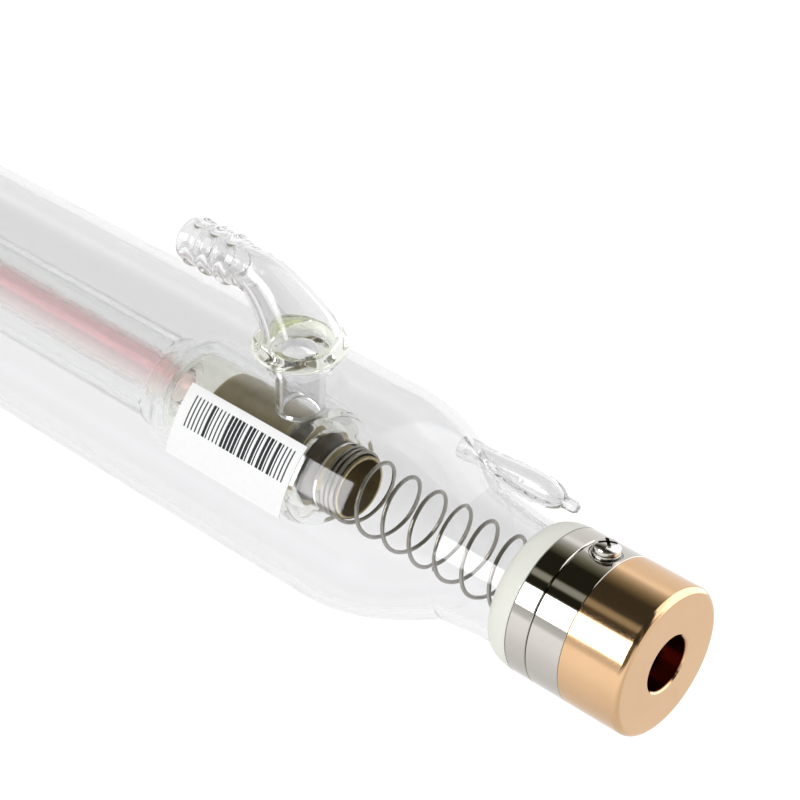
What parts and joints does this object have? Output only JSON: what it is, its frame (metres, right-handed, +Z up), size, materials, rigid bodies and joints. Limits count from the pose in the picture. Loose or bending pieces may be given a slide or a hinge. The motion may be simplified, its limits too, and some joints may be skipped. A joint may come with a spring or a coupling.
{
  "type": "sealed CO2 laser tube",
  "caption": "Sealed, water-cooled glass CO2 laser tube with metal mirror heads, terminal screws, gooseneck water nozzles and electrodes in the necks.",
  "frame": {"origin": "on the tube's axis, midway between the end faces of the two metal heads", "axes": "+X along the beam axis towards the output head, +Z up through both water nozzles, +Y to the left when looking along the beam"},
  "size_m": [0.7, 0.05, 0.0725],
  "materials": {
    "clear_glass": "clear borosilicate, fire-polished",
    "inner_glass": "clear borosilicate",
    "bore_glass": "clear with a rose tint",
    "nozzle_glass": "clear, faint green in thick places",
    "electrode_metal": "dull nickel sheet",
    "band_metal": "dark brown, matte",
    "spring_steel": "drawn wire",
    "plated_rings": "turned and nickel plated, mirror bright",
    "copper_cap": "polished copper tone",
    "seal_resin": "cured white resin, slightly translucent",
    "mirror_coat": "polished optic",
    "o_ring_rubber": "matte",
    "fastener_steel": "nickel plated",
    "label_film": "white film with plain dark bars"
  },
  "bodies": {
    "root": {"envelope": "clear_glass", "water_jacket": "inner_glass", "bore_tube": "bore_glass", "cathode_cup": "inner_glass", "anode_chamber": "inner_glass", "cathode": "electrode_metal", "anode": "electrode_metal", "cathode_band": "band_metal", "anode_band": "band_metal", "front_contact_spring": "spring_steel", "rear_contact_spring": "spring_steel", "gas_return_coil": "inner_glass", "front_nozzle_link": "inner_glass", "rear_nozzle_link": "inner_glass", "front_water_nozzle": "nozzle_glass", "rear_water_nozzle": "nozzle_glass", "exhaust_tip": "nozzle_glass", "front_flange": "plated_rings", "rear_flange": "plated_rings", "front_seal": "seal_resin", "rear_seal": "seal_resin", "front_terminal_ring": "plated_rings", "rear_terminal_ring": "plated_rings", "front_cap": "copper_cap", "rear_cap": "copper_cap", "output_mirror": "mirror_coat", "rear_mirror": "mirror_coat", "front_o_ring": "o_ring_rubber", "rear_o_ring": "o_ring_rubber", "terminal_screws": "fastener_steel", "flat_washers": "fastener_steel", "spring_washers": "fastener_steel", "label": "label_film"}
  },
  "joints": []
}
